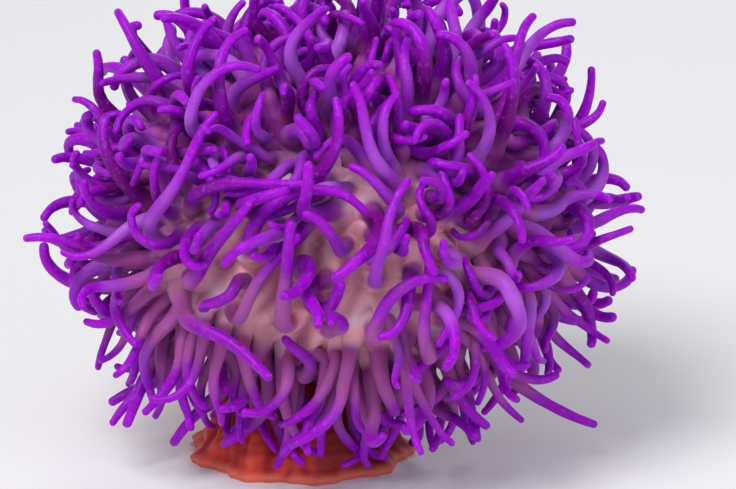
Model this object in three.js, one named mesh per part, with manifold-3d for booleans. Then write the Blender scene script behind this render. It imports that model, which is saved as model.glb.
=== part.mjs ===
// A sea anemone with a thick crown of curling tentacles, facing forward and up on a leaning column.
//
// Units are millimetres, +Z is up and the animal faces -Y. The origin is the centre of the pedal
// disc's underside, the flat sole it stands on.
//
// The crown is a lobed ellipsoid, measured in polar angles round the axis its mouth looks along:
// "tilt" is the angle from that axis and "turn" goes round it. It is parted along those angles
// into rings of sectors. Each sector is one solid together with the tentacles that grow from it.
// The sectors sit on the core of the crown base, which the column carries.

import * as THREE from "three";
import { mergeVertices } from "three/addons/utils/BufferGeometryUtils.js";
import Module from "manifold-3d";

const wasm = await Module();
wasm.setup();

// ---- Crown ----
const CROWN_CENTRE = new THREE.Vector3(11.5, 0, 75);
const CROWN_RADII = new THREE.Vector3(59.5, 48, 41.5);
const MEAN_RADIUS = 48; // for turning lengths on the crown into angles
const FACE_LIFT = 38; // degrees that the mouth looks up
const FACE_TURN = 4; // degrees that it looks to the side, towards +X
const LOBES = 5; // broad waves of the crown's outline
const LOBE_DEPTH = 0.035;
const STRIPS = 24; // flat strips round the crown
const CORE_FACTOR = 0.62; // where the sectors end inside, as a share of the crown's radius
const GAP = 0.3; // between neighbouring solids

// Rings of sectors from the mouth outwards, by tilt in degrees.
const RINGS = [
  { name: "inner", from: 13, to: 37, sectors: 6 },
  { name: "middle", from: 37, to: 60, sectors: 12 },
  { name: "outer", from: 60, to: 81, sectors: 12 },
  { name: "margin", from: 81, to: 102, sectors: 12 },
  { name: "skirt", from: 102, to: 122, sectors: 12 },
];
const MOUTH_TILT = RINGS[0].from;
const SKIRT_TILT = RINGS.at(-1).to;
const UNDERSIDE_TILTS = [160, 141]; // of the bare underside, between its middle and the skirt

const LIP_FACTOR = 1.03; // the lips stand a little above the face
const SLIT = { length: 15, width: 3, depth: 10 };

// ---- Column and pedal disc ----
const SOLE = { radiusX: 32, radiusY: 29, height: 4, lobes: 9, lobeDepth: 0.05 };
const SOLE_PROFILE = [[0, 0.98], [1.6, 1], [SOLE.height, 0.9]]; // height and share of the radius
const FOLDS = 12; // upright folds of the column
const WAIST_HEIGHT = 27; // where the column ends and the crown base begins
// Sections from the sole up into the crown: height, radius, shift and depth of the folds.
const COLUMN_SECTIONS = [
  { z: SOLE.height + GAP, radius: 28.5, x: 0, y: 0, fold: 0.06 },
  { z: 11, radius: 26, x: 0.5, y: 2, fold: 0.05 },
  { z: 19, radius: 23, x: 1.5, y: 6.5, fold: 0.04 },
  { z: WAIST_HEIGHT - GAP / 2, radius: 21, x: 3, y: 12.5, fold: 0.03 },
];
const NECK_SECTIONS = [
  { z: WAIST_HEIGHT + GAP / 2, radius: 21, x: 3, y: 12.6, fold: 0.03 },
  { z: 32.5, radius: 20.5, x: 4.5, y: 17, fold: 0.02 },
  { z: 45, radius: 22, x: 8, y: 22, fold: 0 },
  { z: 60, radius: 16, x: 11, y: 14, fold: 0 },
];

// ---- Tentacle roots ----
const OPEN_FACE_TURN = -10; // middle of the open face, where roots stand wide apart
const OPEN_FACE_LIFT = -8;
const DENSE_AREA = 88; // crown surface for each tentacle, in square millimetres
const OPEN_AREA = 112;
const DENSE_SPACING = 10.5;
const OPEN_SPACING = 12.5;
const LEAST_SPACING = 7.5; // a root nearer to another than this is left out
const SPREAD_ROUNDS = 100;
const SPREAD_SHARE = 0.3; // of the missing distance, made up in each round
const WALL_CLEARANCE = 4.7; // from a root to the edge of its sector

// ---- Tentacles ----
const BASE_RADIUS = 3.1;
const TIP_RADIUS = 1.25;
const LEAST_LENGTH = 28;
const LENGTH_RANGE = 12;
const OPEN_FACE_EXTRA = 5; // tentacles of the open face are this much longer
const LINKS = 8; // straight links that a centre line is worked out in
const SIDES = 3;
const CORNER_REACH = 1.25; // corner radius of a tube's section over the round tentacle's radius
const ROOT_DEPTH = 3.5; // how far a tube starts below the crown's surface
const ROOT_WIDTH_AT = 0.8; // a tube starts as wide as the tentacle is here, counted in links
const LONG_LENGTH = 41; // tentacles longer than this have one ring more
const RING_LINKS = [2.6, 5, 7.2]; // where a tube has its rings, counted in links
const LONG_RING_LINKS = [2.2, 4, 5.8, 7.3];

// ---- Untangling ----
const UNTANGLE_ROUNDS = 240;
const LIST_EVERY = 8; // rounds between two searches for near neighbours
const LIST_MARGIN = 3;
const TUBE_CLEARANCE = 1.3;
const BODY_CLEARANCE = 0.8;
const FLOOR_CLEARANCE = 1.5;
const OWN_SPACING = 5; // samples of one tentacle this far apart along it push each other too
const PUSH_SHARE = 0.25; // of an overlap, taken back by each of two tentacles in one round
const EVENING = 0.25; // how much each joint's move follows its neighbours' moves
const RECALL = 0.995; // what is left of a move after each round

// The tentacles that stand out on the open face and round it, each chosen by hand. Directions are
// degrees to the right of straight ahead and degrees above level: first the place of the root on
// the crown, then the way the shaft runs, then the way the tip hooks. Then come the curl of the
// tip in degrees and the length.
const CHOSEN = [
  [-25, 2, 110, 50, 95, -20, 110, 60],
  [-31, -25, 100, 70, 110, -30, 20, 54],
  [-16, -28, 110, 75, 75, -20, 0, 58],
  [-13, -61, 35, 65, -115, 25, 60, 34],
  [-42, -9, 80, 55, -95, 50, 0, 58],
  [-48, 1, 100, 40, -175, 15, 10, 60],
  [-44, 15, 80, 10, 10, 70, 0, 58],
  [8, -7, 40, 90, 135, -80, 60, 56],
  [-7, -16, 110, 70, 20, 40, 60, 28],
  [7, -22, -20, 85, 100, 45, 110, 52],
  [26, -36, -65, 75, 175, 25, 50, 56],
  [17, -58, 60, 70, 145, 5, 50, 42],
  [3, -66, 95, 25, 175, -35, 10, 32],
  [-2, -30, -10, 80, 5, -15, 100, 40],
  [-55, -38, 30, -35, 100, 55, 10, 30],
  [-53, -21, 80, 5, -20, -15, 60, 56],
  [13, 27, -110, 55, 35, -30, 0, 46],
  [-8, 30, 65, 40, 95, 65, 90, 42],
  [32, 26, 30, 70, 70, 80, 80, 28],
  [35, 34, -75, 10, -15, 25, 90, 28],
  [-8, 43, 40, -25, 25, -5, 170, 40],
  [50, 30, 85, 70, -120, 45, 60, 40],
  [31, 11, 55, 50, 50, -70, 10, 32],
  [44, 6, 60, 65, 80, 5, 20, 38],
  [54, -5, 50, 50, 90, 20, 40, 36],
  [34, -8, 95, -45, -100, 15, 160, 58],
  [32, -21, 75, -25, -35, 15, 20, 36],
  [64, -18, -20, -55, -140, 40, 0, 34],
  [-44, 41, -110, 65, 105, -30, 100, 46],
  [-48, 52, 80, 25, 145, 60, 0, 26],
  [-62, -13, -80, 45, -90, 0, 60, 42],
  [-88, -28, -90, 0, 0, 80, 100, 42],
  [-64, -30, -85, 5, -80, 80, 80, 32],
  [12, -66, 30, -70, 70, 40, 90, 30],
  [-92, 30, -80, 55, -90, 60, 30, 38],
  [-80, 48, -40, 75, 80, 20, 60, 40],
  [-46, 43, -50, 75, 85, 10, 130, 54],
  [-70, -48, -45, -10, -70, -55, 70, 42],
  [-96, -50, -100, -45, -55, -20, 30, 40],
  [-50, -62, -65, -15, -95, -60, 50, 42],
  [75, -52, 86, -38, 92, -20, 20, 52],
  [35, -61, 50, 10, 0, -50, 40, 42],
];

// ---- Small helpers ----
const UP = new THREE.Vector3(0, 0, 1);
const FULL_TURN = 2 * Math.PI;
const rad = THREE.MathUtils.degToRad;
const clamp = THREE.MathUtils.clamp;

function smooth(from, to, x) {
  const t = clamp((x - from) / (to - from), 0, 1);
  return t * t * (3 - 2 * t);
}

// Even steps from one number to another, both included.
function steps(from, to, count) {
  return Array.from({ length: count + 1 }, (_, i) => from + ((to - from) * i) / count);
}

// Angles of a closed ring, its last one being a full turn.
function ringAngles(count) {
  return steps(0, FULL_TURN, count).slice(1);
}

// Unit vector from degrees to the right of straight ahead (-Y) and degrees above level.
function heading(turn, lift) {
  const level = Math.cos(rad(lift));
  const x = Math.sin(rad(turn)) * level;
  return new THREE.Vector3(x, -Math.cos(rad(turn)) * level, Math.sin(rad(lift)));
}

// Repeatable random numbers from 0 to 1.
function randomFrom(seed) {
  let state = (seed * 7919 + 12345) % 2147483647;
  return () => {
    state = (state * 48271) % 2147483647;
    return state / 2147483647;
  };
}

// ---- Crown surface ----
const FACE = heading(FACE_TURN, FACE_LIFT);
const FACE_SIDE = new THREE.Vector3().crossVectors(UP, FACE).normalize();
const FACE_TOP = new THREE.Vector3().crossVectors(FACE, FACE_SIDE);

function crownDirection(tilt, turn) {
  return new THREE.Vector3()
    .addScaledVector(FACE, Math.cos(tilt))
    .addScaledVector(FACE_SIDE, Math.sin(tilt) * Math.cos(turn))
    .addScaledVector(FACE_TOP, Math.sin(tilt) * Math.sin(turn));
}

function lobe(tilt, turn) {
  return 1 + LOBE_DEPTH * Math.sin(tilt) ** 2 * Math.cos(LOBES * turn + 0.6);
}

function crownPoint(tilt, turn, factor = 1) {
  return crownDirection(tilt, turn)
    .multiplyScalar(factor * lobe(tilt, turn))
    .multiply(CROWN_RADII)
    .add(CROWN_CENTRE);
}

function crownNormal(tilt, turn) {
  const step = 0.01;
  const alongTilt = crownPoint(tilt + step, turn).sub(crownPoint(tilt - step, turn));
  const alongTurn = crownPoint(tilt, turn + step).sub(crownPoint(tilt, turn - step));
  return alongTilt.cross(alongTurn).normalize();
}

// Tilt, turn and factor of any point, the reverse of crownPoint.
function crownAngles(point) {
  const d = point.clone().sub(CROWN_CENTRE).divide(CROWN_RADII);
  const length = d.length();
  const tilt = Math.acos(clamp(d.dot(FACE) / length, -1, 1));
  const turn = Math.atan2(d.dot(FACE_TOP), d.dot(FACE_SIDE));
  return { tilt, turn, factor: length / lobe(tilt, turn) };
}

// ---- Sectors ----
function sectorsOf(ring) {
  const width = FULL_TURN / ring.sectors;
  return Array.from({ length: ring.sectors }, (_, i) => ({
    name: `tentacles_${ring.name}_${String(i + 1).padStart(2, "0")}`,
    tilts: [rad(ring.from), rad(ring.to)],
    turns: [i * width, (i + 1) * width],
    strips: STRIPS / ring.sectors,
  }));
}
const SECTORS = RINGS.flatMap(sectorsOf);

// The sector at these angles, or the nearest one where they lie past the first or last ring.
function sectorAt(tilt, turn) {
  const nearTilt = clamp(tilt, rad(MOUTH_TILT), rad(SKIRT_TILT) - 0.001);
  const wholeTurn = (turn + FULL_TURN) % FULL_TURN;
  const holds = ([from, to], angle) => angle >= from && angle < to;
  return SECTORS.find(({ tilts, turns }) => holds(tilts, nearTilt) && holds(turns, wholeTurn));
}

// ---- Tentacle roots ----
// Every sector gets roots by its area, fewer on the open face. They then push one another apart
// over the crown, each staying far enough inside its sector for its whole base.
const OPEN_FACE = heading(OPEN_FACE_TURN, OPEN_FACE_LIFT);

function openness(direction) {
  return 1 - smooth(0.45, 1, direction.angleTo(OPEN_FACE));
}

function placeRoot(root, tilt, turn) {
  const [low, high] = root.sector.tilts;
  const [left, right] = root.sector.turns;
  const middle = (left + right) / 2;
  const fromMiddle = ((turn - middle + 2.5 * FULL_TURN) % FULL_TURN) - FULL_TURN / 2;
  const edge = WALL_CLEARANCE / MEAN_RADIUS;
  root.tilt = clamp(tilt, low + edge, high - edge);
  const reach = (right - left) / 2 - edge / Math.sin(root.tilt);
  root.turn = middle + clamp(fromMiddle, -reach, reach);
  root.point = crownPoint(root.tilt, root.turn);
  root.outward = crownDirection(root.tilt, root.turn);
}

function chosenRoot([turn, lift, aimTurn, aimLift, hookTurn, hookLift, curl, length]) {
  const place = heading(turn, lift).multiply(CROWN_RADII).add(CROWN_CENTRE);
  const angles = crownAngles(place);
  const root = {
    sector: sectorAt(angles.tilt, angles.turn),
    chosen: {
      aim: heading(aimTurn, aimLift),
      hook: heading(hookTurn, hookLift),
      curl: rad(curl),
      length,
    },
  };
  placeRoot(root, angles.tilt, angles.turn);
  return root;
}
const CHOSEN_ROOTS = CHOSEN.map(chosenRoot);

function scatterRoots(sector, index) {
  const random = randomFrom(index);
  const [low, high] = sector.tilts;
  const [left, right] = sector.turns;
  const centre = crownDirection((low + high) / 2, (left + right) / 2);
  const area = (right - left) * (Math.cos(low) - Math.cos(high)) * MEAN_RADIUS ** 2;
  const areaPerRoot = DENSE_AREA + (OPEN_AREA - DENSE_AREA) * openness(centre);
  const taken = CHOSEN_ROOTS.filter((root) => root.sector === sector).length;
  const count = Math.max(0, Math.round(area / areaPerRoot) - taken);
  return Array.from({ length: count }, () => {
    const root = { sector };
    const tilt = low + (high - low) * (0.25 + 0.5 * random());
    placeRoot(root, tilt, left + (right - left) * (0.25 + 0.5 * random()));
    return root;
  });
}

function spreadRoots(roots) {
  for (let round = 0; round < SPREAD_ROUNDS; round++) {
    const places = roots.map((root) => root.point.clone());
    for (const [i, root] of roots.entries()) {
      if (root.chosen) {
        continue;
      }
      const target = DENSE_SPACING + (OPEN_SPACING - DENSE_SPACING) * openness(root.outward);
      const push = new THREE.Vector3();
      for (const other of places) {
        const apart = places[i].clone().sub(other);
        const distance = apart.length();
        if (distance > 0 && distance < target) {
          push.addScaledVector(apart, (SPREAD_SHARE * (target - distance)) / distance);
        }
      }
      const { tilt, turn } = crownAngles(places[i].clone().add(push));
      placeRoot(root, tilt, turn);
    }
  }
  return roots.filter(({ point }, i) =>
    roots.slice(0, i).every((other) => other.point.distanceTo(point) > LEAST_SPACING),
  );
}

// ---- Tentacle centre lines ----
// Low tentacles droop and high ones rise, and each strays from that at random.
function tentaclePlan(root, index) {
  const random = randomFrom(100 + index);
  const { outward } = root;
  const stray = heading(random() * 360, random() * 180 - 90);
  const droop = 0.75 * smooth(0.3, -0.6, outward.z) - 0.25 * smooth(0.2, 0.9, outward.z);
  return {
    ...root,
    normal: crownNormal(root.tilt, root.turn),
    aim: outward.clone().addScaledVector(UP, -droop).addScaledVector(stray, 0.75).normalize(),
    hook: heading(random() * 360, random() * 120 - 50),
    length: LEAST_LENGTH + LENGTH_RANGE * random() + OPEN_FACE_EXTRA * openness(outward),
    curl: rad(45 + 135 * random()),
    wave: rad(42 * (random() * 2 - 1)),
    size: 0.88 + 0.24 * random(),
    ...root.chosen,
  };
}

// A centre line leaves the crown near its normal, bends towards its aim with a slight wave, and
// curls towards its hook at the tip.
function centreLine(plan) {
  const start = plan.normal.clone().lerp(plan.aim, 0.25).normalize();
  const points = [plan.point.clone()];
  for (let k = 0; k < LINKS; k++) {
    const u = (k + 0.5) / LINKS;
    const direction = start.clone().lerp(plan.aim, smooth(0.1, 0.7, u)).normalize();
    const axis = direction.clone().cross(plan.hook).normalize();
    const sideways = direction.clone().cross(axis);
    direction.applyAxisAngle(axis, plan.curl * u ** 2.4);
    direction.applyAxisAngle(sideways, plan.wave * Math.sin(FULL_TURN * u));
    points.push(points[k].clone().addScaledVector(direction, plan.length / LINKS));
  }
  return points;
}

function radiusAt(plan, u) {
  return plan.size * (BASE_RADIUS + (TIP_RADIUS - BASE_RADIUS) * u ** 0.75);
}

function tubeReach(plan, u) {
  return CORNER_REACH * radiusAt(plan, u);
}

// ---- Untangling: tentacles are pushed apart until none touches another, itself or the body ----
// Each centre line is sampled at its joints and halfway along its links, from the first joint on.
const SAMPLES = 2 * LINKS - 1;

function sampleAt(line, s) {
  const k = 1 + s / 2;
  return s % 2 ? line[k - 0.5].clone().lerp(line[k + 0.5], 0.5) : line[k].clone();
}

function pushSample(shift, s, push) {
  const k = 1 + s / 2;
  for (const joint of s % 2 ? [k - 0.5, k + 0.5] : [k]) {
    shift[joint].add(push);
  }
}

function closePairs(plans, lines) {
  const samples = lines.map((line) => Array.from({ length: SAMPLES }, (_, s) => sampleAt(line, s)));
  const reach = (plan, s) => tubeReach(plan, (1 + s / 2) / LINKS);
  const pairs = [];
  for (let i = 0; i < lines.length; i++) {
    for (let j = i; j < lines.length; j++) {
      const span = (plans[i].length + plans[j].length) / 2 + 3 * BASE_RADIUS + LIST_MARGIN;
      if (samples[i][LINKS - 1].distanceTo(samples[j][LINKS - 1]) > span) {
        continue;
      }
      for (let s = 0; s < SAMPLES; s++) {
        for (let t = i === j ? s + OWN_SPACING : 0; t < SAMPLES; t++) {
          const need = reach(plans[i], s) + reach(plans[j], t) + TUBE_CLEARANCE;
          if (samples[i][s].distanceTo(samples[j][t]) < need + LIST_MARGIN) {
            pairs.push({ i, j, s, t, need });
          }
        }
      }
    }
  }
  return pairs;
}

// The column's middle and outermost radius at a height.
function columnAt(z) {
  const sections = [...COLUMN_SECTIONS, ...NECK_SECTIONS];
  const above = sections.findIndex((section, i) => i && z < section.z);
  const upper = sections.at(above);
  const lower = above < 0 ? upper : sections[above - 1];
  const share = clamp((z - lower.z) / (upper.z - lower.z || 1), 0, 1);
  const mix = (key) => lower[key] + (upper[key] - lower[key]) * share;
  return { x: mix("x"), y: mix("y"), radius: mix("radius") * (1 + mix("fold")) };
}

function keepOffBody(point, reach) {
  const column = columnAt(point.z);
  const away = new THREE.Vector3(point.x - column.x, point.y - column.y, 0);
  const inColumn = reach + column.radius - away.length();
  if (inColumn > 0 && point.z < NECK_SECTIONS[1].z) {
    point.addScaledVector(away.normalize(), inColumn);
  }
  const inCrown = reach - (crownAngles(point).factor - 1) * MEAN_RADIUS;
  if (inCrown > 0) {
    point.addScaledVector(point.clone().sub(CROWN_CENTRE).normalize(), inCrown);
  }
  point.z = Math.max(point.z, reach + FLOOR_CLEARANCE);
}

function untangle(plans, lines) {
  const planned = lines.map((line) => line.map((point) => point.clone()));
  let pairs = [];
  for (let round = 0; round < UNTANGLE_ROUNDS; round++) {
    if (round % LIST_EVERY === 0) {
      pairs = closePairs(plans, lines);
    }
    const shifts = lines.map((line) => line.map(() => new THREE.Vector3()));
    for (const { i, j, s, t, need } of pairs) {
      const push = sampleAt(lines[i], s).sub(sampleAt(lines[j], t));
      const distance = push.length();
      if (distance < need) {
        push.multiplyScalar((PUSH_SHARE * (need - distance)) / distance);
        pushSample(shifts[i], s, push);
        pushSample(shifts[j], t, push.negate());
      }
    }
    lines.forEach((line, i) => {
      const moves = line.map((point, k) => point.clone().add(shifts[i][k]).sub(planned[i][k]));
      for (let k = 2; k <= LINKS; k++) {
        const level = moves[k - 1].clone().lerp(moves[Math.min(k + 1, LINKS)], 0.5);
        const move = moves[k].clone().lerp(level, EVENING).multiplyScalar(RECALL);
        line[k].copy(planned[i][k]).add(move);
        keepOffBody(line[k], tubeReach(plans[i], k / LINKS) + BODY_CLEARANCE);
        const link = line[k].clone().sub(line[k - 1]).setLength(plans[i].length / LINKS);
        line[k].copy(line[k - 1]).add(link);
      }
    });
  }
}

const PLANS = spreadRoots([...CHOSEN_ROOTS, ...SECTORS.flatMap(scatterRoots)]).map(tentaclePlan);
const LINES = PLANS.map(centreLine);
untangle(PLANS, LINES);

// ---- Solids from meshes ----
function solidFrom(geometry) {
  const plain = geometry.clone();
  plain.deleteAttribute("normal");
  plain.deleteAttribute("uv");
  const merged = mergeVertices(plain, 1e-4);
  return new wasm.Manifold(new wasm.Mesh({
    numProp: 3,
    vertProperties: new Float32Array(merged.attributes.position.array),
    triVerts: new Uint32Array(merged.index.array),
  }));
}

function geometryFrom(solid) {
  const mesh = solid.getMesh();
  const geometry = new THREE.BufferGeometry();
  geometry.setAttribute("position", new THREE.BufferAttribute(mesh.vertProperties, 3));
  geometry.setIndex(new THREE.BufferAttribute(mesh.triVerts, 1));
  geometry.computeVertexNormals();
  return geometry;
}

function geometryOf(points, index) {
  const geometry = new THREE.BufferGeometry().setFromPoints(points);
  geometry.setIndex(index);
  return geometry;
}

// A closed body through rings of equal point count, with a fan of triangles at each end.
function loft(rings, startPoint, endPoint) {
  const count = rings[0].length;
  const points = [...rings.flat(), startPoint, endPoint];
  const start = points.length - 2;
  const end = points.length - 1;
  const last = start - count;
  const index = [];
  for (let i = 0; i < count; i++) {
    const j = (i + 1) % count;
    for (let a = 0; a < last; a += count) {
      const b = a + count;
      index.push(a + i, a + j, b + i, a + j, b + j, b + i);
    }
    index.push(start, j, i, last + i, last + j, end);
  }
  return solidFrom(geometryOf(points, index));
}

// A block of the crown between two tilts, several turns and two factors, with flat facets.
function crownBlock(tilts, turns, innerFactor, outerFactor) {
  const points = [innerFactor, outerFactor].flatMap((factor) =>
    tilts.flatMap((tilt) => turns.map((turn) => crownPoint(tilt, turn, factor))),
  );
  const at = (layer, row, column) => (layer * 2 + row) * turns.length + column;
  const index = [];
  const quad = (a, b, c, d) => index.push(a, b, c, a, c, d);
  const last = turns.length - 1;
  for (let c = 0; c < last; c++) {
    quad(at(1, 0, c), at(1, 1, c), at(1, 1, c + 1), at(1, 0, c + 1));
    quad(at(0, 0, c), at(0, 0, c + 1), at(0, 1, c + 1), at(0, 1, c));
    quad(at(0, 0, c + 1), at(0, 0, c), at(1, 0, c), at(1, 0, c + 1));
    quad(at(0, 1, c), at(0, 1, c + 1), at(1, 1, c + 1), at(1, 1, c));
  }
  quad(at(0, 0, 0), at(0, 1, 0), at(1, 1, 0), at(1, 0, 0));
  quad(at(1, 0, last), at(1, 1, last), at(0, 1, last), at(0, 0, last));
  return solidFrom(geometryOf(points, index));
}

// ---- Tentacle tubes ----
// Point on a centre line, u counted in links.
function pointAt(line, u) {
  const k = Math.min(Math.floor(u), LINKS - 1);
  return line[k].clone().lerp(line[k + 1], u - k);
}

// Each ring of a tube is turned half a side from the one before, which keeps it round.
function tentacleSolid(plan, line) {
  const root = plan.point.clone().addScaledVector(plan.normal, -ROOT_DEPTH);
  const links = plan.length > LONG_LENGTH ? LONG_RING_LINKS : RING_LINKS;
  const centres = [root, ...links.map((u) => pointAt(line, u))];
  const reaches = [ROOT_WIDTH_AT, ...links].map((u) => tubeReach(plan, u / LINKS));
  const tip = line[LINKS];
  const across = new THREE.Vector3(0.3, 0.5, 0.81).cross(plan.normal);
  const rings = centres.map((centre, s) => {
    const after = centres[s + 1] ?? tip;
    const along = s ? after.clone().sub(centres[s - 1]).normalize() : plan.normal;
    across.addScaledVector(along, -across.dot(along)).normalize();
    return Array.from({ length: SIDES }, (_, i) => {
      const spoke = across.clone().applyAxisAngle(along, (FULL_TURN * (i + 0.5 * s)) / SIDES);
      return centre.clone().addScaledVector(spoke, reaches[s]);
    });
  });
  return loft(rings, root, tip);
}

// ---- Sectors with their tentacles ----
const HALF_GAP_ANGLE = GAP / 2 / (CORE_FACTOR * MEAN_RADIUS);

function sectorSolid(sector) {
  const tilts = [sector.tilts[0] + HALF_GAP_ANGLE, sector.tilts[1] - HALF_GAP_ANGLE];
  const edge = HALF_GAP_ANGLE / Math.min(...tilts.map(Math.sin));
  const turns = steps(sector.turns[0] + edge, sector.turns[1] - edge, sector.strips);
  const block = crownBlock(tilts, turns, CORE_FACTOR, 1);
  return PLANS.reduce(
    (solid, plan, i) => (plan.sector === sector ? solid.add(tentacleSolid(plan, LINES[i])) : solid),
    block,
  );
}

// ---- Mouth: a low dome with a slit ----
function crownRing(tilt, factor, strips) {
  return ringAngles(strips).map((turn) => crownPoint(tilt, turn, factor));
}

function mouthSolid() {
  const edge = rad(MOUTH_TILT) - HALF_GAP_ANGLE;
  const rings = [crownRing(edge, CORE_FACTOR, STRIPS), crownRing(edge, 1, STRIPS)];
  const lip = crownPoint(0, 0, LIP_FACTOR);
  const slit = new THREE.SphereGeometry(0.5, 8, 4);
  slit.scale(SLIT.length, SLIT.width, SLIT.depth);
  slit.applyMatrix4(new THREE.Matrix4().makeBasis(FACE_SIDE, FACE_TOP, FACE));
  slit.translate(...lip.toArray());
  return loft(rings, crownPoint(0, 0, CORE_FACTOR), lip).subtract(solidFrom(slit));
}

// ---- Column: a stack of folded sections ----
function foldedSection({ z, radius, x, y, fold }) {
  return ringAngles(2 * FOLDS).map((angle, i) => {
    const reach = radius * (1 + (i % 2 ? fold : -fold));
    return new THREE.Vector3(x + reach * Math.cos(angle), y + reach * Math.sin(angle), z);
  });
}

function columnSolid(sections) {
  const ends = [sections[0], sections.at(-1)].map(({ x, y, z }) => new THREE.Vector3(x, y, z));
  return loft(sections.map(foldedSection), ...ends);
}

// ---- Crown base: the core that the sectors sit on, the bare underside and the neck ----
function crownBaseSolid() {
  const coreFactor = CORE_FACTOR - GAP / Math.min(...CROWN_RADII.toArray());
  const coreTilts = [SKIRT_TILT, ...RINGS.map((ring) => ring.from).reverse()];
  const coreRings = coreTilts.map((tilt) => crownRing(rad(tilt), coreFactor, STRIPS / 2));
  const coreBack = crownPoint(Math.PI, 0, coreFactor / 2);
  const core = loft(coreRings, coreBack, crownPoint(0, 0, coreFactor));
  const undersideTilts = [...UNDERSIDE_TILTS.map(rad), rad(SKIRT_TILT) + HALF_GAP_ANGLE];
  const undersideRings = undersideTilts.map((tilt) => crownRing(tilt, 1, STRIPS));
  const underside = loft(undersideRings, crownPoint(Math.PI, 0), CROWN_CENTRE);
  return core.add(underside).add(columnSolid(NECK_SECTIONS));
}

// ---- Pedal disc: the flat sole with a scalloped rim ----
function soleSolid() {
  const rings = SOLE_PROFILE.map(([z, share]) =>
    ringAngles(4 * SOLE.lobes).map((angle) => {
      const reach = share * (1 + SOLE.lobeDepth * Math.cos(SOLE.lobes * angle));
      const x = SOLE.radiusX * reach * Math.cos(angle);
      return new THREE.Vector3(x, SOLE.radiusY * reach * Math.sin(angle), z);
    }),
  );
  return loft(rings, new THREE.Vector3(), new THREE.Vector3(0, 0, SOLE.height));
}

// ---- The whole animal ----
function flesh(colour) {
  return new THREE.MeshStandardMaterial({ color: colour, roughness: 0.45, metalness: 0 });
}
const TENTACLE_FLESH = flesh(0x8c1cb0);
const FACE_FLESH = flesh(0xb8786c);
const COLUMN_FLESH = flesh(0xc4553a);

const group = new THREE.Group();

function add(name, solid, material) {
  const mesh = new THREE.Mesh(geometryFrom(solid), material);
  mesh.name = name;
  group.add(mesh);
}

for (const sector of SECTORS) {
  add(sector.name, sectorSolid(sector), TENTACLE_FLESH);
}
add("mouth", mouthSolid(), FACE_FLESH);
add("crown_base", crownBaseSolid(), FACE_FLESH);
add("column", columnSolid(COLUMN_SECTIONS), COLUMN_FLESH);
add("pedal_disc", soleSolid(), COLUMN_FLESH);

export default group;
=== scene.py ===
"""Looks for the sea anemone: one skin of flesh in place of the solids, a plain floor and light.

The skin follows the same rules as the solids, so its tentacles run where theirs do. Shorter
tentacles are then added in the spaces that are left. Everything is in metres, in the frame of
the solids: +Z is up, the animal faces -Y, and the origin is under its pedal disc.
"""

import math

import bpy
import numpy as np
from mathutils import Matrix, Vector


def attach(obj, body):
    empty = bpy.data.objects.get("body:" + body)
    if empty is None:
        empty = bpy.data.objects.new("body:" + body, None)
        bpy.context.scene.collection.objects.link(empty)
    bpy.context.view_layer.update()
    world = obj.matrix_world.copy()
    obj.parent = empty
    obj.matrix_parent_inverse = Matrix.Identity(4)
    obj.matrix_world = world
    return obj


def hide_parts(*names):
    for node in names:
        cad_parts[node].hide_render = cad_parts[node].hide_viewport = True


MM = 0.001
FULL_TURN = 2 * math.pi
UP = np.array([0.0, 0.0, 1.0])

# ---- Random numbers, as in the solids ----
RANDOM_FACTOR = 48271
RANDOM_RANGE = 2147483647
SEED_FACTOR = 7919
SEED_SHIFT = 12345
PLAN_SEED = 100  # of the first tentacle's shape
PLAN_DRAWS = 8  # for each tentacle

# ---- Crown, as in the solids ----
CROWN_CENTRE = np.array([11.5, 0, 75]) * MM
CROWN_RADII = np.array([59.5, 48, 41.5]) * MM
MEAN_RADIUS = 48 * MM
FACE_LIFT = 38
FACE_TURN = 4
LOBES = 5
LOBE_DEPTH = 0.035
LOBE_PHASE = 0.6
# Rings of sectors from the mouth outwards: from and to, by tilt in degrees, and their number.
RINGS = [(13, 37, 6), (37, 60, 12), (60, 81, 12), (81, 102, 12), (102, 122, 12)]

# ---- Column and pedal disc, as in the solids ----
SOLE_RADII = np.array([32, 29]) * MM
SOLE_LOBES = 9
SOLE_LOBE_DEPTH = 0.05
SOLE_HEIGHTS = np.array([0, 1.6, 4]) * MM
SOLE_SHARES = [0.98, 1, 0.9]  # of the radius, at those heights
# Height, radius, shift along X and along Y in millimetres, and depth of the folds.
COLUMN_SECTIONS = np.array([
    [4.3, 28.5, 0, 0, 0.06],
    [11, 26, 0.5, 2, 0.05],
    [19, 23, 1.5, 6.5, 0.04],
    [26.85, 21, 3, 12.5, 0.03],
    [27.15, 21, 3, 12.6, 0.03],
    [32.5, 20.5, 4.5, 17, 0.02],
    [45, 22, 8, 22, 0],
    [60, 16, 11, 14, 0],
]) * [MM, MM, MM, MM, 1]
NECK_LIMIT = 32.5 * MM

# ---- Tentacle roots, as in the solids ----
OPEN_FACE_TURN = -10
OPEN_FACE_LIFT = -8
OPEN_FACE_EDGE = (0.45, 1)  # angles from its middle where it starts and ends giving way
DENSE_AREA = 88 * MM**2
OPEN_AREA = 112 * MM**2
DENSE_SPACING = 10.5 * MM
OPEN_SPACING = 12.5 * MM
LEAST_SPACING = 7.5 * MM
START_MARGIN = 0.25  # roots start at least this share of a sector in from its edges
SPREAD_ROUNDS = 100
SPREAD_SHARE = 0.3
WALL_CLEARANCE = 4.7 * MM

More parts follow.
